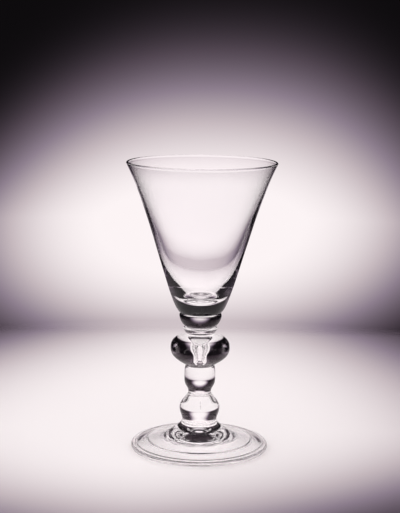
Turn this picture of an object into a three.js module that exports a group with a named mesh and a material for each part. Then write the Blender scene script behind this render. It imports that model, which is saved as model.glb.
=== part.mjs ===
// A drinking glass of clear lead glass: a funnel bowl on a stem of knops and a folded conical foot.
// It is made hot, so its pieces are turned shapes that are welded face to face on one axis.
// Units are millimetres, +Z is up, and the origin is on the axis at the height of the table.
import * as THREE from "three";

// Heights of the pieces along the axis, from the table to the rim
const footHeight = 20.3;
const baseKnopHeight = 19.2;
const bobbinHeight = 19.7;
const cushionHeight = 23.0;
const collarHeight = 4.0;
const neckKnopHeight = 9.6;
const bowlHeight = 104.2;

// Radii of the flat welds between neighbours
const footWeldRadius = 11.9;
const waistWeldRadius = 7.9;
const cushionWeldRadius = 10.0;
const collarWeldRadius = 10.2;
const neckWeldRadius = 9.8;
const bowlWeldRadius = 13.6;

// Widest radius of each knop, and the height of that place above the knop's own lower weld
const baseKnopRadius = 13.95;
const baseKnopWidest = 8.6;
const bobbinRadius = 10.75;
const bobbinWidest = 10.0;
const cushionRadius = 20.45;
const cushionWidest = 11.7;
const collarRadius = 12.1;
const collarWidest = 3.0;
const neckKnopRadius = 14.6;
const neckKnopWidest = 7.9;

// Where the collar's ring turns into its neck
const collarNeckRadius = 10.2;
const collarNeckHeight = 3.4;

// Bowl: its wall is thin at the rim and thickens from mid height down to a solid base
const rimRadius = 51.4;
const rimWall = 1.7;
const middleWall = 2.0;
const middleWallHeight = 52.0;
const solidBase = 8.8;
const cavityFloorRadius = 12.2;
const cavityFloorRise = 3.9;

// Tear: an inverted cone of air in the cushion knop, pricked from above through a narrow mouth
const tearMouthRadius = 0.8;
const tearMouthDepth = 8.2;
const tearTopRadius = 6.9;
const tearShoulderDrop = 2.3;
const tearFloorRadius = 1.7;
const tearFloorGap = 5.0;
const tearFloorRise = 2.0;

// Foot: a cone with a raised boss, whose edge is folded under into a double band
const footRadius = 47.45;
const footEdgeThickness = 3.4;
const restingRingWidth = 2.2;
const foldWidth = 11.2;
const foldLineHeight = 6.0;
const foldThickness = 3.1;
const footWall = 1.9;
const bossRadius = 18.0;
const bossEdgeHeight = 13.3;
const bossWall = 4.6;
const pontilRadius = 6.2;
const pontilRidgeRadius = 4.3;
const pontilHollowRadius = 2.3;
const pontilDrop = 1.1;

// Bends of the smooth stretches: how far the two handles reach, as shares of a stretch's width
// and height, first for the handle at its start and then for the one at its end
const bends = {
  pontilInside: [0.2, 0, 0.3, 0],
  pontilOutside: [0.4, 0, 0.3, 0],
  underside: [0.6, 0, 0.25, 0.3],
  foldLip: [0.5, 0, 0, 0.5],
  foldLipUnder: [0, 0.5, 0.5, 0],
  footBand: [0.32, 0.27, 0.32, 0.37],
  footCone: [0.33, 0.26, 0.22, 0.35],
  bossSide: [0.49, 0.27, 0.05, 0.37],
  baseKnopBelly: [0.05, 0.2, 0, 0.4],
  baseKnopShoulder: [0, 0.37, 0.1, 0.27],
  bobbinEnd: [0.04, 0.46, 0, 0.6],
  bobbinShoulder: [0, 0.62, 0.67, 0.04],
  cushionBelly: [0.44, 0.28, 0, 0.53],
  cushionFlare: [0, 0.85, 0.25, 0.2],
  collarUnder: [0.35, 0.35, 0.2, 0.3],
  collarOver: [0, 0.6, 0.6, 0.1],
  neckKnopBelly: [0.67, 0.19, 0, 0.3],
  neckKnopShoulder: [0, 0.53, 0.5, 0.18],
  tearCrown: [0.66, 0.05, 0, 0.55],
  tearTaper: [0.33, 0.33, 0.33, 0.33],
  tearFloor: [0.07, 0.64, 0.44, 0],
  bowlOutside: [0.204, 0.023, 0.519, 0.412],
  bowlInsideAbove: [0.37, 0.335, 0.32, 0.345],
  bowlInsideBelow: [0.25, 0.33, 0.44, 0.25],
  cavityFloor: [0.14, 0.55, 0.45, 0],
};

// Facets round the axis, and steps along the stretches and the rounded edges
const facets = 48;
const shortSteps = 3;
const flareSteps = 9;
const knopSteps = 6;
const bowlSteps = 16;
const roundSteps = 4;

// Welds, worked out from the heights
const footWeld = footHeight;
const waistWeld = footWeld + baseKnopHeight;
const cushionWeld = waistWeld + bobbinHeight;
const collarWeld = cushionWeld + cushionHeight;
const neckWeld = collarWeld + collarHeight;
const bowlWeld = neckWeld + neckKnopHeight;
const rimTop = bowlWeld + bowlHeight;

const clearGlass = {
  color: 0xf1eff4,
  roughness: 0.03,
  metalness: 0,
  transparent: true,
  opacity: 0.45,
};

const at = (radius, height) => new THREE.Vector2(radius, height);

// Points of a smooth stretch of outline from one point to another
function stretch(from, to, bend, steps) {
  const [startAcross, startUp, endAcross, endUp] = bend;
  const width = to.x - from.x;
  const height = to.y - from.y;
  const start = at(from.x + startAcross * width, from.y + startUp * height);
  const end = at(to.x - endAcross * width, to.y - endUp * height);
  return new THREE.CubicBezierCurve(from, start, end, to).getPoints(steps);
}

// Points of an arc round a centre, from one angle to another, anticlockwise
function rounded(centre, radius, fromAngle, toAngle) {
  return new THREE.Path().absarc(centre.x, centre.y, radius, fromAngle, toAngle).getPoints(roundSteps);
}

// Turns an outline, given from the axis below to the axis above, into a solid round +Z
function turned(name, outline) {
  const points = outline.filter((point, i) => i === 0 || point.distanceTo(outline[i - 1]) > 1e-6);
  const geometry = new THREE.LatheGeometry(points, facets);
  geometry.rotateX(Math.PI / 2);
  const mesh = new THREE.Mesh(geometry, new THREE.MeshStandardMaterial(clearGlass));
  mesh.name = name;
  return mesh;
}

// Foot: pontil mark, hollow underside, fold, flat resting ring, rounded edge, cone and boss
function foot() {
  const edgeRadius = footEdgeThickness / 2;
  const edgeCentre = at(footRadius - edgeRadius, edgeRadius);
  const edgeTop = at(edgeCentre.x, footEdgeThickness);
  const foldLine = at(footRadius - foldWidth, foldLineHeight);
  const lipRadius = (foldThickness - footWall) / 2;
  const lipTop = at(foldLine.x + lipRadius, foldLine.y - footWall);
  const lipNose = at(foldLine.x, lipTop.y - lipRadius);
  const lipFloor = at(lipTop.x, foldLine.y - foldThickness);
  const ringInner = at(edgeCentre.x - restingRingWidth, 0);
  const bossEdge = at(bossRadius, bossEdgeHeight);
  const pontilHollow = at(pontilHollowRadius, bossEdgeHeight - bossWall);
  const pontilRidge = at(pontilRidgeRadius, pontilHollow.y - pontilDrop);
  const pontilEdge = at(pontilRadius, pontilHollow.y);
  return turned("foot", [
    at(0, pontilHollow.y),
    ...stretch(pontilHollow, pontilRidge, bends.pontilInside, shortSteps),
    ...stretch(pontilRidge, pontilEdge, bends.pontilOutside, shortSteps),
    ...stretch(pontilEdge, lipTop, bends.underside, knopSteps),
    ...stretch(lipTop, lipNose, bends.foldLip, shortSteps),
    ...stretch(lipNose, lipFloor, bends.foldLipUnder, shortSteps),
    ringInner,
    ...rounded(edgeCentre, edgeRadius, -Math.PI / 2, Math.PI / 2),
    ...stretch(edgeTop, foldLine, bends.footBand, shortSteps),
    ...stretch(foldLine, bossEdge, bends.footCone, roundSteps),
    ...stretch(bossEdge, at(footWeldRadius, footWeld), bends.bossSide, knopSteps),
    at(0, footWeld),
  ]);
}

// Base knop: a full belly, with a hollow shoulder up to the waist
function baseKnop() {
  const widest = at(baseKnopRadius, footWeld + baseKnopWidest);
  return turned("base_knop", [
    at(0, footWeld),
    ...stretch(at(footWeldRadius, footWeld), widest, bends.baseKnopBelly, knopSteps),
    ...stretch(widest, at(waistWeldRadius, waistWeld), bends.baseKnopShoulder, knopSteps),
    at(0, waistWeld),
  ]);
}

// Bobbin knop: a barrel with a square shoulder, drawn in below to the waist
function bobbinKnop() {
  const widest = at(bobbinRadius, waistWeld + bobbinWidest);
  return turned("bobbin_knop", [
    at(0, waistWeld),
    ...stretch(at(waistWeldRadius, waistWeld), widest, bends.bobbinEnd, knopSteps),
    ...stretch(widest, at(cushionWeldRadius, cushionWeld), bends.bobbinShoulder, knopSteps),
    at(0, cushionWeld),
  ]);
}

// Cushion knop: flattened, with a hollow flare above, and the tear open through its mouth
function cushionKnop() {
  const widest = at(cushionRadius, cushionWeld + cushionWidest);
  const tearMouth = at(tearMouthRadius, collarWeld - tearMouthDepth);
  const tearTop = at(tearTopRadius, tearMouth.y - tearShoulderDrop);
  const tearFloor = at(0, cushionWeld + tearFloorGap);
  const tearEnd = at(tearFloorRadius, tearFloor.y + tearFloorRise);
  return turned("cushion_knop", [
    at(0, cushionWeld),
    ...stretch(at(cushionWeldRadius, cushionWeld), widest, bends.cushionBelly, knopSteps),
    ...stretch(widest, at(collarWeldRadius, collarWeld), bends.cushionFlare, flareSteps),
    at(tearMouthRadius, collarWeld),
    ...stretch(tearMouth, tearTop, bends.tearCrown, roundSteps),
    ...stretch(tearTop, tearEnd, bends.tearTaper, shortSteps),
    ...stretch(tearEnd, tearFloor, bends.tearFloor, shortSteps),
  ]);
}

// Collar: a thin ring with a rounded edge, on a short neck
function collar() {
  const widest = at(collarRadius, collarWeld + collarWidest);
  const neck = at(collarNeckRadius, collarWeld + collarNeckHeight);
  return turned("collar", [
    at(0, collarWeld),
    ...stretch(at(collarWeldRadius, collarWeld), widest, bends.collarUnder, shortSteps),
    ...stretch(widest, neck, bends.collarOver, shortSteps),
    at(neckWeldRadius, neckWeld),
    at(0, neckWeld),
  ]);
}

// Neck knop: cup shaped, widest just under the bowl
function neckKnop() {
  const widest = at(neckKnopRadius, neckWeld + neckKnopWidest);
  return turned("neck_knop", [
    at(0, neckWeld),
    ...stretch(at(neckWeldRadius, neckWeld), widest, bends.neckKnopBelly, knopSteps),
    ...stretch(widest, at(bowlWeldRadius, bowlWeld), bends.neckKnopShoulder, shortSteps),
    at(0, bowlWeld),
  ]);
}

// Bowl: one long curve outside, a wall that thickens downwards inside, and a rounded cavity floor
function bowl() {
  const rimRound = rimWall / 2;
  const rimCentre = at(rimRadius - rimRound, rimTop - rimRound);
  const rimOuter = at(rimRadius, rimCentre.y);
  const rimInner = at(rimRadius - rimWall, rimCentre.y);
  const outside = stretch(at(bowlWeldRadius, bowlWeld), rimOuter, bends.bowlOutside, bowlSteps);
  const outerMiddle = outside.find((point) => point.y > bowlWeld + middleWallHeight);
  const innerMiddle = at(outerMiddle.x - middleWall, outerMiddle.y);
  const cavityFloor = at(0, bowlWeld + solidBase);
  const cavityEdge = at(cavityFloorRadius, cavityFloor.y + cavityFloorRise);
  return turned("bowl", [
    at(0, bowlWeld),
    ...outside,
    ...rounded(rimCentre, rimRound, 0, Math.PI),
    ...stretch(rimInner, innerMiddle, bends.bowlInsideAbove, knopSteps),
    ...stretch(innerMiddle, cavityEdge, bends.bowlInsideBelow, knopSteps),
    ...stretch(cavityEdge, cavityFloor, bends.cavityFloor, roundSteps),
  ]);
}

const goblet = new THREE.Group();
goblet.add(foot(), baseKnop(), bobbinKnop(), cushionKnop(), collar(), neckKnop(), bowl());

export default goblet;
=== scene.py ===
"""The looks of a drinking glass of clear lead glass: a funnel bowl, a stem of knops and a folded foot.

Each gather of the glass is turned from half of its section and made slightly uneven, as hand work is.
Its finish has soft waves and turning marks, and two of the gathers hold shut-in air. Neighbours meet at
flat welds, which are clear, so that light runs through the whole stem without a break. Lengths are
metres, with +Z up and the table at height 0.
"""

import logging
import math
from dataclasses import dataclass, field
from enum import Enum
from typing import Any, NamedTuple

import bmesh
import bpy
from mathutils import Matrix, Vector


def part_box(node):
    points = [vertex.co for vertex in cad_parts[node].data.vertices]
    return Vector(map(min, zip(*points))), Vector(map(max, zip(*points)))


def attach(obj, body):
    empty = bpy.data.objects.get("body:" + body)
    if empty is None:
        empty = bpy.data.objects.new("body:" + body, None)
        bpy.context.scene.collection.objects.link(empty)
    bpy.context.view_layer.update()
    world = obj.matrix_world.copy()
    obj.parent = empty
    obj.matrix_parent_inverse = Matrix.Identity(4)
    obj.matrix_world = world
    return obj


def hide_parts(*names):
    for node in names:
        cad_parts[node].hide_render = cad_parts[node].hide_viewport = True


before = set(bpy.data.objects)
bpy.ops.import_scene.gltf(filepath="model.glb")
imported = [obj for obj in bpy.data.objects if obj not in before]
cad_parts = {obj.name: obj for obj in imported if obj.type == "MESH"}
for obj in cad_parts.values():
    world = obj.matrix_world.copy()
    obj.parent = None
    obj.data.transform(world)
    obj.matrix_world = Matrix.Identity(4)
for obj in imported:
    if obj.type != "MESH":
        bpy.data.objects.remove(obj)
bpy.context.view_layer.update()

MM = 0.001
TURN_STEPS = 240
MERGE_DISTANCE = 2e-6
# A painted violet tint on the reflections of the stem and the foot glass, so that their dark reflections
# come out violet
VIOLET_SHEEN = (1.0, 0.8, 0.92)

# Angles in degrees: an arc over a round edge, and a camera's turn from straight down to level
HALF_TURN = 180.0
LEVEL = 90.0

# Bounces are whole numbers, so the first two of these tell none from one, and one from more
NO_BOUNCE = 0.5
ONE_BOUNCE = 1.5
MOST_BOUNCES = 64

log = logging.getLogger("goblet")


class Bend(NamedTuple):
    """How far the handles of a smooth stretch reach, as shares of its width and height, and its steps."""

    start_across: float
    start_up: float
    end_across: float
    end_up: float
    steps: int


class Bubble(NamedTuple):
    """A bubble of air shut in the glass, with its half width and half height."""

    centre: tuple[float, float, float]
    half_width: float
    half_height: float


class Surface(Enum):
    """The two kinds of surface on a gather, with their places among its material slots."""

    FIRE_POLISHED = 0
    WELD = 1


class Along(Enum):
    """What turning marks are counted along: the height of a gather, or the distance from its axis."""

    HEIGHT = 0.0
    RADIUS = 1.0


class Socket(Enum):
    """The kinds of sockets on the shared node groups."""

    NUMBER = "NodeSocketFloat"
    VECTOR = "NodeSocketVector"
    COLOUR = "NodeSocketColor"


class Tree:
    """A short way to write a node tree."""

    def __init__(self, tree: bpy.types.NodeTree) -> None:
        """Starts the tree afresh.

        Args:
            tree: the tree, whose nodes are cleared.
        """
        tree.nodes.clear()
        self.tree = tree

    def put(self, kind: str, inputs: dict[Any, Any] | None = None, **settings: Any) -> bpy.types.Node:
        """Adds a node.

        Args:
            kind: the type of the node, without the first word that all shader nodes have.
            inputs: a value, or another node's output, for each input by its name or place.
            settings: the node's own settings, which are made before its inputs.

        Returns:
            The node.
        """
        node = self.tree.nodes.new("ShaderNode" + kind)
        for name, value in settings.items():
            setattr(node, name, value)
        for key, value in (inputs or {}).items():
            if isinstance(value, bpy.types.NodeSocket):
                self.tree.links.new(value, node.inputs[key])
            else:
                node.inputs[key].default_value = value
        return node

    def use(self, group: bpy.types.NodeTree, inputs: dict[str, Any]) -> bpy.types.NodeSocket:
        """Adds a node group.

        Args:
            group: the group.
            inputs: its inputs by their names.

        Returns:
            The group's output.
        """
        return self.put("Group", inputs, node_tree=group).outputs[0]

    def math(self, operation: str, *values: Any, clamp: bool = False) -> bpy.types.NodeSocket:
        """Adds a sum on numbers.

        Args:
            operation: the kind of sum.
            values: its terms, as numbers or outputs.
            clamp: keeps the answer between 0 and 1.

        Returns:
            The answer's output.
        """
        return self.put("Math", dict(enumerate(values)), operation=operation, use_clamp=clamp).outputs[0]

    def between(self, share: bpy.types.NodeSocket, first: Any, second: Any) -> bpy.types.NodeSocket:
        """A number between two others.

        Args:
            share: 0 for the first and 1 for the second.
            first: the first number.
            second: the second number.

        Returns:
            The number's output.
        """
        return self.put("Mix", {0: share, 2: first, 3: second}, data_type="FLOAT").outputs[0]

    def blend(self, share: Any, first: bpy.types.Node, second: bpy.types.Node) -> bpy.types.Node:
        """Blends two shaders.

        Args:
            share: 0 for the first and 1 for the second.
            first: the first shader.
            second: the second shader.

        Returns:
            The node that blends them.
        """
        return self.put("MixShader", {0: share, 1: first.outputs[0], 2: second.outputs[0]})

    def fade(self, value: bpy.types.NodeSocket, start: float, end: float) -> bpy.types.NodeSocket:
        """A smooth step down from 1 at start to 0 at end.

        Args:
            value: what is measured.
            start: where the fade starts.
            end: where it ends.

        Returns:
            The share that is left.
        """
        inputs = {"Value": value, "From Min": start, "From Max": end, "To Min": 1.0, "To Max": 0.0}
        return self.put("MapRange", inputs, interpolation_type="SMOOTHSTEP").outputs["Result"]

    def part_of(self, value: bpy.types.NodeSocket, whole: Any) -> bpy.types.NodeSocket:
        """How large a value is on either side of 0, as a share of the whole."""
        return self.math("DIVIDE", self.math("ABSOLUTE", value), whole)

    def bell(self, across: Any, up: Any, power: float) -> bpy.types.NodeSocket:
        """The brightness of a pool of light, which is 1 in the middle and falls away round it.

        Args:
            across: how far out the point is across the pool, already bent by its own power.
            up: how far out it is the other way, bent too.
            power: how sharply the edge falls.

        Returns:
            The brightness.
        """
        reach = self.math("POWER", self.math("ADD", across, up), power)
        return self.math("EXPONENT", self.math("MULTIPLY", reach, -1.0))

    def place(self) -> bpy.types.NodeSocket:
        """The point's own place in the frame."""
        return self.put("TexCoord").outputs["Object"]


class Effect(Tree):
    """The tree of a node group that several materials share, with one output."""

    def __init__(
        self,
        name: str,
        inputs: dict[str, Socket],
        output: str,
        kind: Socket = Socket.NUMBER,
    ) -> None:
        """Starts the group.

        Args:
            name: the group's name.
            inputs: the kind of each input by its name.
            output: the name of its output.
            kind: the kind of the output.
        """
        super().__init__(bpy.data.node_groups.new(name, "ShaderNodeTree"))
        for label, socket in inputs.items():
            self.tree.interface.new_socket(label, in_out="INPUT", socket_type=socket.value)
        self.tree.interface.new_socket(output, in_out="OUTPUT", socket_type=kind.value)
        self.given = self.tree.nodes.new("NodeGroupInput")
        self.result = self.tree.nodes.new("NodeGroupOutput")

    def finished(self, value: bpy.types.NodeSocket) -> bpy.types.NodeTree:
        """Gives a value out of the group.

        Args:
            value: what the group gives.

        Returns:
            The finished group.
        """
        self.tree.links.new(value, self.result.inputs[0])
        return self.tree


def turning_marks() -> bpy.types.NodeTree:
    """Rings that the tools leave as the glass turns: long round the axis, short across it.

    Returns:
        The group, with Position, Spacing, Waver and Along as inputs and Height as output.
    """
    inputs = {
        "Position": Socket.VECTOR,
        "Spacing": Socket.NUMBER,
        "Waver": Socket.NUMBER,
        "Along": Socket.NUMBER,
    }
    tree = Effect("turning_marks", inputs, "Height")
    position, spacing, waver, along = (tree.given.outputs[name] for name in inputs)
    x, y, z = tree.put("SeparateXYZ", {0: position}).outputs
    radius = tree.math("SQRT", tree.math("ADD", tree.math("MULTIPLY", x, x), tree.math("MULTIPLY", y, y)))
    safe = tree.math("MAXIMUM", radius, 0.1 * MM)
    cosine = tree.math("MULTIPLY", tree.math("DIVIDE", x, safe), waver)
    sine = tree.math("MULTIPLY", tree.math("DIVIDE", y, safe), waver)
    count = tree.math("DIVIDE", tree.between(along, z, radius), spacing)
    rolled = tree.put("CombineXYZ", {0: cosine, 1: sine, 2: count}).outputs[0]
    noise = tree.put("TexNoise", {"Vector": rolled, "Scale": 1.0, "Detail": 2.0, "Roughness": 0.55})
    return tree.finished(noise.outputs["Fac"])


def ripple() -> bpy.types.NodeTree:
    """The soft waves of a hand-shaped surface.

    Returns:
        The group, with Position and Size as inputs and Height as output.
    """
    tree = Effect("ripple", {"Position": Socket.VECTOR, "Size": Socket.NUMBER}, "Height")
    scale = tree.math("DIVIDE", 1.0, tree.given.outputs["Size"])
    noise = tree.put("TexNoise", {"Vector": tree.given.outputs["Position"], "Scale": scale, "Detail": 1.0})
    return tree.finished(noise.outputs["Fac"])


def wear() -> bpy.types.NodeTree:
    """Fine scratches from years of standing on tables, only where the glass rests.

    Returns:
        The group, with Position and Reach as inputs and Mask as output.
    """
    tree = Effect("wear", {"Position": Socket.VECTOR, "Reach": Socket.NUMBER}, "Mask")
    position = tree.given.outputs["Position"]
    height = tree.put("SeparateXYZ", {0: position}).outputs[2]
    risen = tree.math("DIVIDE", height, tree.given.outputs["Reach"])
    near = tree.math("SUBTRACT", 1.0, risen, clamp=True)
    drawn = tree.put("Mapping", {"Vector": position, "Scale": (900.0, 260.0, 900.0)}).outputs[0]
    scratch = tree.put("TexNoise", {"Vector": drawn, "Scale": 1.0, "Detail": 4.0, "Roughness": 0.7})
    lines = tree.math("SUBTRACT", 1.0, tree.fade(scratch.outputs["Fac"], start=0.5, end=0.62))
    return tree.finished(tree.math("MULTIPLY", near, lines))


def glow_colour() -> bpy.types.NodeTree:
    """The colour of the studio's light by its brightness: warm where it is bright, violet where it dims.

    Returns:
        The group, with Brightness as input and Color as output.
    """
    tree = Effect("glow_colour", {"Brightness": Socket.NUMBER}, "Color", Socket.COLOUR)
    ramp = tree.put("ValToRGB", {"Fac": tree.given.outputs["Brightness"]})
    stops = {
        0.0: (0.0042, 0.0035, 0.0042),
        0.07: (0.084, 0.062, 0.083),
        0.25: (0.268, 0.212, 0.272),
        0.52: (0.570, 0.490, 0.522),
        0.93: (0.975, 0.905, 0.915),
    }
    elements = ramp.color_ramp.elements
    while len(elements) < len(stops):
        elements.new(0.5)
    for element, (position, colour) in zip(elements, stops.items()):
        element.position = position
        element.color = (*colour, 1)
    return tree.finished(ramp.outputs["Color"])


@dataclass(frozen=True)
class Effects:
    """The node groups that the finishes share, each built once."""

    marks: bpy.types.NodeTree
    ripple: bpy.types.NodeTree
    wear: bpy.types.NodeTree
    glow: bpy.types.NodeTree


def new_material(name: str) -> tuple[bpy.types.Material, Tree]:
    """Starts a material.

    Args:
        name: its name.

    Returns:
        The material, and its empty tree.
    """
    mat = bpy.data.materials.new(name)
    mat.use_nodes = True
    return mat, Tree(mat.node_tree)


@dataclass(frozen=True)
class LeadGlass:
    """Clear lead glass as it comes from the fire."""

    name: str
    along: Along
    mark_spacing: float
    mark_height: float
    ripple_size: float
    ripple_height: float
    waver: float = 1.2
    colour: tuple[float, float, float] = (0.985, 0.98, 0.986)
    ior: float = 1.55
    sheen: tuple[float, float, float] = (1.0, 1.0, 1.0)
    wear_reach: float = 1.2 * MM
    wear_roughness: float = 0.3
    shadow: float = 0.93

    def material(self, effects: Effects) -> bpy.types.Material:
        """Builds the material.

        Args:
            effects: the shared node groups.

        Returns:
            The material.
        """
        mat, tree = new_material(self.name)
        place = tree.place()
        worn = tree.use(effects.wear, {"Position": place, "Reach": self.wear_reach})
        relief = self.relief(effects, tree, place)
        bump = tree.put("Bump", {"Strength": 1.0, "Distance": 1.0, "Height": relief})
        glass = tree.put(
            "BsdfPrincipled",
            {
                "Base Color": (*self.colour, 1),
                "Roughness": tree.math("MULTIPLY", worn, self.wear_roughness),
                "IOR": self.ior,
                "Specular Tint": (*self.sheen, 1),
                "Transmission Weight": 1.0,
                "Normal": bump.outputs[0],
            },
        )
        clear = tree.put("BsdfTransparent", {"Color": (self.shadow, self.shadow, self.shadow, 1)})
        mix = tree.blend(tree.put("LightPath").outputs["Is Shadow Ray"], glass, clear)
        tree.put("OutputMaterial", {"Surface": mix.outputs[0]})
        return mat

    def relief(self, effects: Effects, tree: Tree, place: bpy.types.NodeSocket) -> bpy.types.NodeSocket:
        """The height of the turning marks and of the soft waves together.

        Args:
            effects: the shared node groups.
            tree: the material's tree.
            place: the point's place.

        Returns:
            The height.
        """
        marks = {
            "Position": place,
            "Spacing": self.mark_spacing,
            "Waver": self.waver,
            "Along": self.along.value,
        }
        ring = tree.math("MULTIPLY", tree.use(effects.marks, marks), self.mark_height)
        wave = tree.use(effects.ripple, {"Position": place, "Size": self.ripple_size})
        return tree.math("MULTIPLY_ADD", wave, self.ripple_height, ring)


@dataclass(frozen=True)
class Weld:
    """The hot weld between two gathers, through which light runs on without bending."""

    name: str = "weld"

    def material(self) -> bpy.types.Material:
        """Builds the clear material of the weld faces."""
        mat, tree = new_material(self.name)
        clear = tree.put("BsdfPrincipled", {"Alpha": 0.0, "Roughness": 0.5})
        tree.put("OutputMaterial", {"Surface": clear.outputs[0]})
        return mat


class Outline:
    """Half of a turned section, drawn from the axis below to the axis above."""

    def __init__(self, radius: float, height: float) -> None:
        """Starts the outline at one point.

        Args:
            radius: distance of the point from the axis.
            height: height of the point.
        """
        self.points: list[Vector] = [Vector((radius, height))]

    @property
    def end(self) -> Vector:
        """The last point so far."""
        return self.points[-1]

    def line_to(self, radius: float, height: float, steps: int = 1) -> "Outline":
        """Adds a straight stretch.

        Args:
            radius: radius of its end.
            height: height of its end.
            steps: how many even steps it is divided into.

        Returns:
            The outline itself, so that stretches can follow each other.
        """
        start, end = self.end, Vector((radius, height))
        self.points += [start.lerp(end, i / steps) for i in range(1, steps + 1)]
        return self

    def stretch_to(self, radius: float, height: float, bend: Bend) -> "Outline":
        """Adds a smooth stretch with a handle at each end.

        Args:
            radius: radius of its end.
            height: height of its end.
            bend: the reach of the two handles, and the number of steps.

        Returns:
            The outline itself.
        """
        start, end = self.end, Vector((radius, height))
        span = end - start
        first = start + Vector((bend.start_across * span.x, bend.start_up * span.y))
        second = end - Vector((bend.end_across * span.x, bend.end_up * span.y))
        for i in range(1, bend.steps + 1):
            t = i / bend.steps
            u = 1 - t
            self.points.append(start * u**3 + first * 3 * u * u * t + second * 3 * u * t * t + end * t**3)
        return self

    def ridge_to(self, radius: float, height: float, rise: float, steps: int = 8) -> "Outline":
        """Adds a straight stretch with one swelling, to the right of the way it goes.

        Args:
            radius: radius of its end.
            height: height of its end.
            rise: how far the swelling stands out, or less than 0 for a groove.
            steps: how many steps it is divided into.

        Returns:
            The outline itself.
        """
        start, end = self.end, Vector((radius, height))
        span = end - start
        out = Vector((span.y, -span.x)).normalized()
        for i in range(1, steps + 1):
            swell = (1 - math.cos(math.tau * i / steps)) / 2
            self.points.append(start + span * (i / steps) + out * (rise * swell))
        return self

    def round_to(self, centre: Vector, sweep: float, steps: int) -> "Outline":
        """Adds an arc from the last point round a centre.

        Args:
            centre: centre of the arc.
            sweep: angle of the arc, anticlockwise, in degrees.
            steps: how many steps it is divided into.

        Returns:
            The outline itself.
        """
        arm = self.end - centre
        for i in range(1, steps + 1):
            self.points.append(centre + Matrix.Rotation(math.radians(sweep * i / steps), 2) @ arm)
        return self


@dataclass(frozen=True)
class HandWork:
    """The slight unevenness of glass that is turned and shaped by hand on one axis."""

    oval: float = 0.0022
    lobes: float = 0.0012
    oval_twist: float = 9.0
    lobe_twist: float = 21.0
    twist_length: float = 100 * MM

    def moved(self, point: Vector) -> Vector:
        """Where the hand work leaves a point of the true shape. Heights stay as they are.

        Args:
            point: a point on the true turned shape.

        Returns:
            The point after it, at the same height.
        """
        angle = math.atan2(point.y, point.x)
        oval = self.oval * math.cos(2 * angle + self.oval_twist * point.z / self.twist_length)
        lobes = self.lobes * math.cos(3 * angle - self.lobe_twist * point.z / self.twist_length)
        grow = 1 + oval + lobes
        return Vector((point.x * grow, point.y * grow, point.z))


HAND_WORK = HandWork()


def turn(outline: Outline, steps: int = TURN_STEPS) -> bmesh.types.BMesh:
    """Turns an outline that starts and ends on the axis into a closed shape, with its faces pointing out.

    Args:
        outline: half of the section.
        steps: how many steps the full turn takes.

    Returns:
        The closed shape.
    """
    bm = bmesh.new()
    verts = [bm.verts.new((p.x, 0.0, p.y)) for p in outline.points]
    edges = [bm.edges.new(pair) for pair in zip(verts, verts[1:])]
    bmesh.ops.spin(
        bm,
        geom=verts + edges,
        cent=(0, 0, 0),
        axis=(0, 0, 1),
        angle=math.tau,
        steps=steps,
        use_merge=True,
        use_duplicate=False,
    )
    bmesh.ops.remove_doubles(bm, verts=bm.verts, dist=MERGE_DISTANCE)
    bmesh.ops.recalc_face_normals(bm, faces=bm.faces)
    return bm


def blown(bubble: Bubble) -> bmesh.types.BMesh:
    """The shape of a bubble.

    Args:
        bubble: its place and size.

    Returns:
        The closed shape, with its faces pointing out of the bubble.
    """
    bm = bmesh.new()
    size = Matrix.Diagonal((bubble.half_width, bubble.half_width, bubble.half_height, 1))
    place = Matrix.Translation(bubble.centre)
    bmesh.ops.create_uvsphere(bm, u_segments=24, v_segments=16, radius=1.0, matrix=place @ size)
    return bm


@dataclass
class Gather:
    """One gather of glass: a turned solid that replaces its node of the frame."""

    node: str
    slot: str
    glass: bpy.types.Material
    weld: bpy.types.Material
    low: float = field(init=False)
    high: float = field(init=False)
    radius: float = field(init=False)

    def __post_init__(self) -> None:
        """Reads the height of both ends and the widest radius from the frame."""
        lowest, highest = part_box(self.node)
        self.low, self.high, self.radius = lowest.z, highest.z, highest.x

    def outline(self) -> Outline:
        """The half section. Each kind of gather gives its own."""
        raise NotImplementedError

    def welds(self) -> list[float]:
        """Heights of the flat faces that are welded to a neighbour."""
        return [self.low, self.high]

    def voids(self) -> list[bmesh.types.BMesh]:
        """Shapes of the air that is shut inside the glass. Most gathers hold none."""
        return []

    def shut_in(self, bm: bmesh.types.BMesh) -> None:
        """Adds the walls of the air that is shut in, which face into that air.

        Args:
            bm: the gather's shape, which gets the walls.
        """
        for air in self.voids():
            bmesh.ops.reverse_faces(air, faces=air.faces)
            mesh = bpy.data.meshes.new("air")
            air.to_mesh(mesh)
            air.free()
            bm.from_mesh(mesh)
            bpy.data.meshes.remove(mesh)

    def mesh(self) -> bpy.types.Mesh:
        """Builds the gather's mesh with its two materials.

        Returns:
            The mesh.
        """
        bm = turn(self.outline())
        for face in bm.faces:
            for weld in self.welds():
                if max(abs(v.co.z - weld) for v in face.verts) < MERGE_DISTANCE:
                    face.material_index = Surface.WELD.value
        for edge in bm.edges:
            edge.smooth = len({face.material_index for face in edge.link_faces}) == 1
        self.shut_in(bm)
        for vert in bm.verts:
            vert.co = HAND_WORK.moved(vert.co)
        for face in bm.faces:
            face.smooth = True
        mesh = bpy.data.meshes.new(self.node + "_glass")
        bm.to_mesh(mesh)
        bm.free()
        finishes = {Surface.FIRE_POLISHED: self.glass, Surface.WELD: self.weld}
        for surface in Surface:
            mesh.materials.append(finishes[surface])
        return mesh

    def build(self) -> bpy.types.Object:
        """Builds the gather and gives it its place in the frame.

        Returns:
            The finished piece.
        """
        mesh = self.mesh()
        piece = bpy.data.objects.new(self.node + "_glass", mesh)
        bpy.context.scene.collection.objects.link(piece)
        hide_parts(self.node)
        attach(piece, "root")
        log.info("%s: %d vertices", piece.name, len(mesh.vertices))
        return piece


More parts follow.
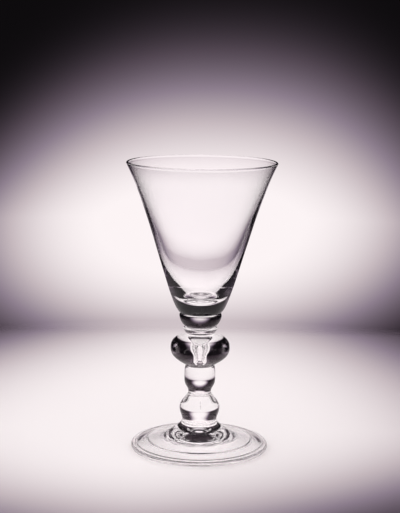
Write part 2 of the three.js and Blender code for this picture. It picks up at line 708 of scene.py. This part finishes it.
@dataclass
class Foot(Gather):
    """The conical foot, with a boss on top, its rim folded under and a pontil mark beneath."""

    weld_radius: float = 11.9 * MM
    edge: float = 3.9 * MM
    ring_width: float = 0.2 * MM
    fold_width: float = 11.2 * MM
    fold_line: float = 6.0 * MM
    fold_thickness: float = 3.1 * MM
    wall: float = 1.9 * MM
    crease_width: float = 1.9 * MM
    edge_crease: float = 0.4 * MM
    fold_crease: float = 0.35 * MM
    band_slope: float = 1 / 4
    cone_slope: float = 1 / 3
    boss_radius: float = 18.0 * MM
    boss_edge: float = 13.3 * MM
    boss_wall: float = 4.6 * MM
    pontil_radius: float = 6.2 * MM
    pontil_ridge: float = 4.3 * MM
    pontil_hollow: float = 2.3 * MM
    pontil_drop: float = 1.1 * MM
    pontil_inside: Bend = Bend(0.2, 0, 0.3, 0, steps=12)
    pontil_outside: Bend = Bend(0.4, 0, 0.3, 0, steps=12)
    underside: Bend = Bend(0.6, 0, 0.25, 0.3, steps=40)
    fold_lip: Bend = Bend(0.5, 0, 0, 0.5, steps=8)
    fold_lip_under: Bend = Bend(0, 0.5, 0.5, 0, steps=8)
    band: Bend = Bend(0.32, 0.27, 0.32, 0.37, steps=16)
    cone: Bend = Bend(0.33, 0.26, 0.22, 0.35, steps=24)
    boss_side: Bend = Bend(0.49, 0.27, 0.05, 0.37, steps=20)

    def welds(self) -> list[float]:
        """The foot is welded on top only."""
        return [self.high]

    def outline(self) -> Outline:
        """The half section, from the hollow under the pontil mark round to the weld."""
        ceiling = self.boss_edge - self.boss_wall
        outline = Outline(0, ceiling).line_to(self.pontil_hollow, ceiling, steps=4)
        outline.stretch_to(self.pontil_ridge, ceiling - self.pontil_drop, self.pontil_inside)
        outline.stretch_to(self.pontil_radius, ceiling, self.pontil_outside)
        self.fold(outline)
        self.top(outline)
        return outline.line_to(0, self.high)

    def fold(self, outline: Outline) -> None:
        """Draws the hollow underside, the lip of the fold, the resting ring and the round edge.

        Args:
            outline: the outline, which has come to the outside of the pontil mark.
        """
        fold_x = self.radius - self.fold_width
        lip = (self.fold_thickness - self.wall) / 2
        lip_top = self.fold_line - self.wall
        edge_radius = self.edge / 2
        edge_x = self.radius - edge_radius
        outline.stretch_to(fold_x + lip, lip_top, self.underside)
        outline.stretch_to(fold_x, lip_top - lip, self.fold_lip)
        outline.stretch_to(fold_x + lip, self.fold_line - self.fold_thickness, self.fold_lip_under)
        outline.line_to(edge_x - self.ring_width, self.low, steps=8)
        outline.line_to(edge_x, self.low, steps=2)
        outline.round_to(Vector((edge_x, self.low + edge_radius)), HALF_TURN, steps=24)

    def top(self, outline: Outline) -> None:
        """Draws the upper side, with a groove at the edge and one at the line of the fold.

        Args:
            outline: the outline, which has come over the round edge.
        """
        edge_x = self.radius - self.edge / 2
        edge_top = self.low + self.edge
        fold_x = self.radius - self.fold_width
        crease_end = edge_top + self.crease_width * self.band_slope
        half = self.crease_width / 2
        outline.ridge_to(edge_x - self.crease_width, crease_end, -self.edge_crease)
        outline.stretch_to(fold_x + half, self.fold_line - half * self.band_slope, self.band)
        outline.ridge_to(fold_x - half, self.fold_line + half * self.cone_slope, -self.fold_crease)
        outline.stretch_to(self.boss_radius, self.boss_edge, self.cone)
        outline.stretch_to(self.weld_radius, self.high, self.boss_side)


@dataclass
class Knop(Gather):
    """A knop of the stem: round, with a flat weld at each end and its widest place between them."""

    low_radius: float
    high_radius: float
    widest: float
    under: Bend
    over: Bend

    def outline(self) -> Outline:
        """The half section, out to the widest place and in again."""
        outline = Outline(0, self.low).line_to(self.low_radius, self.low)
        outline.stretch_to(self.radius, self.low + self.widest, self.under)
        self.shoulder(outline)
        return outline.line_to(0, self.high)

    def shoulder(self, outline: Outline) -> None:
        """Draws the side above the widest place.

        Args:
            outline: the outline, which has come to the widest place.
        """
        outline.stretch_to(self.high_radius, self.high, self.over)


@dataclass
class CreasedKnop(Knop):
    """A knop with a fine groove round it, just under its upper weld."""

    crease: float
    crease_width: float

    def shoulder(self, outline: Outline) -> None:
        """Draws the side above the widest place, and the groove.

        Args:
            outline: the outline, which has come to the widest place.
        """
        outline.stretch_to(self.high_radius, self.high - self.crease_width, self.over)
        outline.ridge_to(self.high_radius, self.high, -self.crease)


@dataclass
class BaseKnop(Knop):
    """The knop on the foot: a full belly, with a hollow shoulder up to the waist, and a long seed inside."""

    low_radius: float = 11.9 * MM
    high_radius: float = 7.9 * MM
    widest: float = 8.6 * MM
    under: Bend = Bend(0.05, 0.2, 0, 0.4, steps=28)
    over: Bend = Bend(0, 0.37, 0.1, 0.27, steps=28)
    seed: Bubble = Bubble((0.5 * MM, -1.0 * MM, 29.0 * MM), half_width=0.2 * MM, half_height=2.4 * MM)

    def voids(self) -> list[bmesh.types.BMesh]:
        """The seed."""
        return [blown(self.seed)]


@dataclass
class BobbinKnop(CreasedKnop):
    """The barrel of the stem: a square shoulder, drawn in below to the waist."""

    low_radius: float = 7.9 * MM
    high_radius: float = 10.0 * MM
    widest: float = 10.0 * MM
    under: Bend = Bend(0.04, 0.46, 0, 0.6, steps=28)
    over: Bend = Bend(0, 0.62, 0.67, 0.04, steps=28)
    crease: float = 0.3 * MM
    crease_width: float = 1.1 * MM


@dataclass
class CushionKnop(CreasedKnop):
    """The widest knop, with a hollow flare above and the tear of air inside."""

    low_radius: float = 10.0 * MM
    high_radius: float = 10.2 * MM
    widest: float = 11.7 * MM
    under: Bend = Bend(0.44, 0.28, 0, 0.53, steps=36)
    over: Bend = Bend(0, 0.85, 0.25, 0.2, steps=50)
    crease: float = 0.3 * MM
    crease_width: float = 1.0 * MM
    tear_top: float = 8.2 * MM
    tear_radius: float = 6.9 * MM
    tear_shoulder: float = 2.3 * MM
    tear_end: float = 1.7 * MM
    tear_gap: float = 5.0 * MM
    tear_rise: float = 2.0 * MM
    tear_floor: Bend = Bend(0.44, 0, 0.07, 0.64, steps=16)
    tear_taper: Bend = Bend(0.33, 0.33, 0.33, 0.33, steps=24)
    tear_crown: Bend = Bend(0, 0.55, 0.66, 0.05, steps=20)

    def tear(self) -> Outline:
        """The half section of the tear, an inverted cone of air."""
        top = self.high - self.tear_top
        floor = self.low + self.tear_gap
        outline = Outline(0, floor)
        outline.stretch_to(self.tear_end, floor + self.tear_rise, self.tear_floor)
        outline.stretch_to(self.tear_radius, top - self.tear_shoulder, self.tear_taper)
        return outline.stretch_to(0, top, self.tear_crown)

    def voids(self) -> list[bmesh.types.BMesh]:
        """The tear."""
        return [turn(self.tear(), TURN_STEPS // 2)]


@dataclass
class Collar(Knop):
    """The thin ring between the neck knop and the cushion knop, on a short neck."""

    low_radius: float = 10.2 * MM
    high_radius: float = 9.8 * MM
    widest: float = 3.0 * MM
    under: Bend = Bend(0.35, 0.35, 0.2, 0.3, steps=14)
    over: Bend = Bend(0, 0.6, 0.6, 0.1, steps=14)
    neck_radius: float = 10.2 * MM
    neck: float = 3.4 * MM
    neck_side: Bend = Bend(0.5, 0.2, 0, 0.4, steps=8)

    def shoulder(self, outline: Outline) -> None:
        """Draws the ring's upper side, and its neck.

        Args:
            outline: the outline, which has come to the widest place.
        """
        outline.stretch_to(self.neck_radius, self.low + self.neck, self.over)
        outline.stretch_to(self.high_radius, self.high, self.neck_side)


@dataclass
class NeckKnop(Knop):
    """The cup shaped knop just under the bowl."""

    low_radius: float = 9.8 * MM
    high_radius: float = 13.6 * MM
    widest: float = 7.9 * MM
    under: Bend = Bend(0.67, 0.19, 0, 0.3, steps=28)
    over: Bend = Bend(0, 0.53, 0.5, 0.18, steps=12)


@dataclass
class Bowl(Gather):
    """The funnel bowl, thin at the rim and solid at the base."""

    low_radius: float = 13.6 * MM
    rim_wall: float = 1.7 * MM
    middle_height: float = 52.7 * MM
    middle_radius: float = 30.4 * MM
    solid_base: float = 8.8 * MM
    floor_radius: float = 12.0 * MM
    floor_rise: float = 3.85 * MM
    outside: Bend = Bend(0.204, 0.023, 0.519, 0.412, steps=90)
    inside_above: Bend = Bend(0.37, 0.335, 0.32, 0.345, steps=40)
    inside_below: Bend = Bend(0.25, 0.325, 0.455, 0.236, steps=40)
    floor: Bend = Bend(0.156, 0.55, 0.45, 0, steps=24)

    def welds(self) -> list[float]:
        """The bowl is welded below only."""
        return [self.low]

    def outline(self) -> Outline:
        """The half section, up the outside, over the rim and down to the floor of the cavity."""
        rim = self.rim_wall / 2
        rim_height = self.high - rim
        floor = self.low + self.solid_base
        outline = Outline(0, self.low).line_to(self.low_radius, self.low)
        outline.stretch_to(self.radius, rim_height, self.outside)
        outline.round_to(Vector((self.radius - rim, rim_height)), HALF_TURN, steps=16)
        outline.stretch_to(self.middle_radius, self.low + self.middle_height, self.inside_above)
        outline.stretch_to(self.floor_radius, floor + self.floor_rise, self.inside_below)
        return outline.stretch_to(0, floor, self.floor)


@dataclass(frozen=True)
class Pool:
    """The pool of light on the table, which fades out faster towards the viewer than behind the glass."""

    brightness: float = 0.93
    across: float = -0.0285
    back: float = 0.043
    lean: float = 0.073
    half_width: float = 0.23
    half_depth_front: float = 0.197
    half_depth_back: float = 0.43
    corner: float = 1.58
    power: float = 4.3

    def level(self, tree: Tree) -> bpy.types.NodeSocket:
        """How bright the table is at a point.

        Args:
            tree: the tree that uses it.

        Returns:
            The brightness.
        """
        x, y, _ = tree.put("SeparateXYZ", {0: tree.place()}).outputs
        deep = tree.math("SUBTRACT", y, self.back)
        aside = tree.math("SUBTRACT", x, tree.math("MULTIPLY_ADD", deep, self.lean, self.across))
        behind = tree.math("GREATER_THAN", deep, 0.0)
        depth = tree.between(behind, self.half_depth_front, self.half_depth_back)
        over = tree.math("POWER", tree.part_of(aside, self.half_width), self.corner)
        far = tree.math("POWER", tree.part_of(deep, depth), self.corner)
        return tree.math("MULTIPLY", tree.bell(over, far, self.power / self.corner), self.brightness)


@dataclass(frozen=True)
class Glow:
    """The soft round light on the wall behind the glass, with dimmer ones at the sides and in front."""

    brightness: float = 0.965
    height: float = 0.05
    lean: float = 0.1475
    half_angle: float = 19.1
    half_above: float = 0.1443
    half_below: float = 0.1573
    power_across: float = 2.25
    power_above: float = 1.21
    power_below: float = 2.05
    power: float = 2.11
    lowest: float = -0.085
    side_brightness: float = 0.4
    side_half_angle: float = 14.0

    def level(self, tree: Tree) -> bpy.types.NodeSocket:
        """How bright the wall is at a point.

        Args:
            tree: the tree that uses it.

        Returns:
            The brightness.
        """
        x, y, z = tree.put("SeparateXYZ", {0: tree.place()}).outputs
        rise = tree.math("SUBTRACT", tree.math("MAXIMUM", z, self.lowest), self.height)
        angle = tree.math("ARCTAN2", x, y)
        eighth = math.pi / 4
        main = tree.math("LESS_THAN", tree.math("ABSOLUTE", angle), eighth)
        leaning = tree.math("MULTIPLY_ADD", rise, -self.lean, angle)
        turned = tree.math("WRAP", leaning, eighth, -eighth)
        width = tree.between(main, math.radians(self.side_half_angle), math.radians(self.half_angle))
        above = tree.math("GREATER_THAN", rise, 0.0)
        height = tree.between(above, self.half_below, self.half_above)
        sharpness = tree.between(above, self.power_below, self.power_above)
        over = tree.math("POWER", tree.part_of(turned, width), self.power_across)
        high = tree.math("POWER", tree.part_of(rise, height), sharpness)
        level = tree.between(main, self.side_brightness, self.brightness)
        return tree.math("MULTIPLY", tree.bell(over, high, self.power), level)


@dataclass(frozen=True)
class Studio:
    """The table, the wall round it, the light and the camera."""

    effects: Effects
    picture_height: float = 513.0
    focal_pixels: float = 1356.0
    distance: float = 915.2 * MM
    height: float = 290.8 * MM
    pitch: float = 9.67
    yaw: float = 0.052
    roll: float = 0.667
    table_half: float = 0.39
    table_fade: float = 0.05
    wall_radius: float = 0.8
    wall_low: float = -0.4
    wall_high: float = 1.0
    wall_segments: int = 128
    daylight: float = 0.9
    lamp_place: tuple[float, float, float] = (0.25, 0.2, 1.1)
    lamp_size: float = 0.5
    lamp_power: float = 1.4
    # Painted extra light for all but the camera: beyond_white on the table and the wall, and spot more on
    # the table within spot_radius of the foot
    beyond_white: float = 0.2
    spot: float = 0.08
    spot_radius: float = 70 * MM
    first_mirrored: float = 0.5

    def camera(self) -> None:
        """Puts the camera where the ellipses of the rim and the foot say that it stood."""
        data = bpy.data.cameras.new("camera")
        data.lens = self.focal_pixels / self.picture_height * data.sensor_width
        camera = bpy.data.objects.new("camera", data)
        camera.location = (0, -self.distance, self.height)
        yaw = Matrix.Rotation(math.radians(self.yaw), 3, "Z")
        pitch = Matrix.Rotation(math.radians(LEVEL - self.pitch), 3, "X")
        roll = Matrix.Rotation(math.radians(self.roll), 3, "Z")
        camera.rotation_euler = (yaw @ pitch @ roll).to_euler()
        bpy.context.scene.collection.objects.link(camera)
        bpy.context.scene.camera = camera

    def stand(self, name: str, bm: bmesh.types.BMesh, mat: bpy.types.Material) -> bpy.types.Object:
        """Puts a shape in the studio as a piece of its stage.

        Args:
            name: its name.
            bm: the shape, which is freed.
            mat: its material.

        Returns:
            The new object.
        """
        mesh = bpy.data.meshes.new(name)
        bm.to_mesh(mesh)
        bm.free()
        mesh.materials.append(mat)
        obj = bpy.data.objects.new(name, mesh)
        bpy.context.scene.collection.objects.link(obj)
        return obj

    def unseen(self, tree: Tree, path: bpy.types.Node) -> bpy.types.NodeSocket:
        """Tells light that the camera sees at once, which gives 0, from all other light, which gives 1."""
        return tree.math("SUBTRACT", 1.0, path.outputs["Is Camera Ray"])

    def mirrored(self, tree: Tree, path: bpy.types.Node) -> bpy.types.NodeSocket:
        """How much of its brightness a thing loses in the reflections on the outside of the glass.

        Args:
            tree: the tree of the thing's material.
            path: its light path node.

        Returns:
            The share, which is 0 for all other light.
        """
        first = tree.math("LESS_THAN", path.outputs["Ray Depth"], ONE_BOUNCE)
        gloss = tree.math("MULTIPLY", path.outputs["Is Glossy Ray"], first)
        return tree.math("MULTIPLY", gloss, 1 - self.first_mirrored)

    def table_left(self, tree: Tree, place: bpy.types.NodeSocket) -> bpy.types.NodeSocket:
        """How much of the table is left at a point, as it fades out at the back and at both sides.

        Args:
            tree: the tree of the table's material.
            place: the point's place.

        Returns:
            The share.
        """
        x, y, _ = tree.put("SeparateXYZ", {0: place}).outputs
        inner = self.table_half - self.table_fade
        behind = tree.fade(y, inner, self.table_half)
        beside = tree.fade(tree.math("ABSOLUTE", x), inner, self.table_half)
        return tree.math("MULTIPLY", behind, beside)

    def table_finish(self) -> bpy.types.Material:
        """Builds the table's material, which gives the glass more light than the lamp alone does.

        Returns:
            The material.
        """
        mat, tree = new_material("table")
        place = tree.place()
        path = tree.put("LightPath")
        # The table's colour is a painted pool of light: bright round the glass and dimming away from it
        colour = tree.use(self.effects.glow, {"Brightness": Pool().level(tree)})
        matt = tree.put("BsdfDiffuse", {"Color": colour})
        # Painted light: the table glows for all but the camera, a little more round the foot
        away = tree.put("VectorMath", {0: place}, operation="LENGTH").outputs["Value"]
        near = tree.fade(away, self.spot_radius / 2, self.spot_radius)
        beyond = tree.math("MULTIPLY_ADD", near, self.spot, self.beyond_white)
        strength = tree.math("MULTIPLY", self.unseen(tree, path), beyond)
        extra = tree.put("Emission", {"Color": colour, "Strength": strength})
        both = tree.put("AddShader", {0: matt.outputs[0], 1: extra.outputs[0]})
        black = tree.put("Emission", {"Strength": 0.0})
        kept = tree.blend(self.mirrored(tree, path), both, black)
        clear = tree.put("BsdfTransparent")
        mix = tree.blend(self.table_left(tree, place), clear, kept)
        tree.put("OutputMaterial", {"Surface": mix.outputs[0]})
        return mat

    def wall_finish(self) -> bpy.types.Material:
        """Builds the wall's material, which is clear from outside and for light that matt things gather.

        Returns:
            The material.
        """
        mat, tree = new_material("wall")
        path = tree.put("LightPath")
        colour = tree.use(self.effects.glow, {"Brightness": Glow().level(tree)})
        full = tree.math("MULTIPLY_ADD", self.unseen(tree, path), self.beyond_white, 1.0)
        strength = tree.math("MULTIPLY", full, tree.math("SUBTRACT", 1.0, self.mirrored(tree, path)))
        light = tree.put("Emission", {"Color": colour, "Strength": strength})
        clear = tree.put("BsdfTransparent")
        outside = tree.put("NewGeometry").outputs["Backfacing"]
        gathered = tree.math("GREATER_THAN", path.outputs["Diffuse Depth"], NO_BOUNCE)
        mix = tree.blend(tree.math("MAXIMUM", outside, gathered), light, clear)
        tree.put("OutputMaterial", {"Surface": mix.outputs[0]})
        return mat

    def table(self) -> None:
        """Lays the pale table top."""
        bm = bmesh.new()
        bmesh.ops.create_grid(bm, x_segments=1, y_segments=1, size=self.table_half)
        self.stand("table", bm, self.table_finish())

    def wall(self) -> None:
        """Stands the round wall, which lights nothing but what is seen in glass and through it."""
        bm = bmesh.new()
        bmesh.ops.create_cone(
            bm,
            cap_ends=False,
            segments=self.wall_segments,
            radius1=self.wall_radius,
            radius2=self.wall_radius,
            depth=self.wall_high - self.wall_low,
            matrix=Matrix.Translation((0, 0, (self.wall_high + self.wall_low) / 2)),
        )
        bmesh.ops.reverse_faces(bm, faces=bm.faces)
        wall = self.stand("wall", bm, self.wall_finish())
        wall.visible_diffuse = False
        wall.visible_shadow = False

    def room(self) -> None:
        """Fills the room with an even light that only matt things gather. All else sees it dark."""
        world = bpy.data.worlds.new("room")
        bpy.context.scene.world = world
        world.use_nodes = True
        tree = Tree(world.node_tree)
        seen = tree.math("LESS_THAN", tree.put("LightPath").outputs["Diffuse Depth"], NO_BOUNCE)
        darkness = tree.use(self.effects.glow, {"Brightness": 0.0})
        even = tree.put("Background", {"Color": (1, 1, 1, 1), "Strength": self.daylight})
        dark = tree.put("Background", {"Color": darkness, "Strength": 1.0})
        tree.put("OutputWorld", {"Surface": tree.blend(seen, even, dark).outputs[0]})

    def lamp(self) -> None:
        """Hangs a soft lamp over the table, aimed at the foot."""
        data = bpy.data.lights.new("lamp", "AREA")
        data.shape = "DISK"
        data.size = self.lamp_size
        data.energy = self.lamp_power
        data.cycles.use_multiple_importance_sampling = False
        lamp = bpy.data.objects.new("lamp", data)
        lamp.location = self.lamp_place
        lamp.rotation_euler = (-lamp.location).to_track_quat("-Z", "Y").to_euler()
        bpy.context.scene.collection.objects.link(lamp)

    def bounces(self) -> None:
        """Lets light bounce often enough to pass through the whole stem, and shows plain colours."""
        scene = bpy.context.scene
        scene.view_settings.view_transform = "Standard"
        scene.cycles.max_bounces = MOST_BOUNCES
        scene.cycles.glossy_bounces = MOST_BOUNCES
        scene.cycles.transmission_bounces = MOST_BOUNCES
        scene.cycles.transparent_max_bounces = MOST_BOUNCES

    def build(self) -> None:
        """Sets up the whole studio."""
        self.camera()
        self.table()
        self.wall()
        self.room()
        self.lamp()
        self.bounces()


def write_sizes() -> None:
    """Brings the places of all objects up to date.
    """
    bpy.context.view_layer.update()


def foot_glass() -> LeadGlass:
    """The glass of the foot, spun thin and wide, so its marks are rings round the axis."""
    return LeadGlass(
        name="foot_glass",
        along=Along.RADIUS,
        mark_spacing=3.0 * MM,
        mark_height=0.05 * MM,
        ripple_size=14 * MM,
        ripple_height=0.10 * MM,
        colour=(1.0, 0.99, 1.0),
        sheen=VIOLET_SHEEN,
        shadow=0.97,
    )


def stem_glass() -> LeadGlass:
    """The solid glass of the stem, with the finest marks."""
    return LeadGlass(
        name="stem_glass",
        along=Along.HEIGHT,
        mark_spacing=4.0 * MM,
        mark_height=0.012 * MM,
        ripple_size=9 * MM,
        ripple_height=0.05 * MM,
        colour=(0.905, 0.89, 0.9),
        sheen=VIOLET_SHEEN,
    )


def bowl_glass() -> LeadGlass:
    """The blown glass of the bowl, with the widest waves."""
    return LeadGlass(
        name="bowl_glass",
        along=Along.HEIGHT,
        mark_spacing=7.0 * MM,
        mark_height=0.015 * MM,
        ripple_size=22 * MM,
        ripple_height=0.12 * MM,
    )


def main() -> None:
    """Builds the glass from the foot up, and the studio round it."""
    logging.basicConfig(level=logging.INFO, format="%(name)s: %(message)s")
    effects = Effects(turning_marks(), ripple(), wear(), glow_colour())
    weld = Weld().material()
    foot = foot_glass().material(effects)
    stem = stem_glass().material(effects)
    bowl = bowl_glass().material(effects)
    gathers = [
        Foot("foot", "foot_glass", foot, weld),
        BaseKnop("base_knop", "stem_glass", stem, weld),
        BobbinKnop("bobbin_knop", "stem_glass", stem, weld),
        CushionKnop("cushion_knop", "stem_glass", stem, weld),
        Collar("collar", "stem_glass", stem, weld),
        NeckKnop("neck_knop", "stem_glass", stem, weld),
        Bowl("bowl", "bowl_glass", bowl, weld),
    ]
    for gather in gathers:
        gather.build()
    Studio(effects).build()
    write_sizes()


if __name__ == "__main__":
    main()
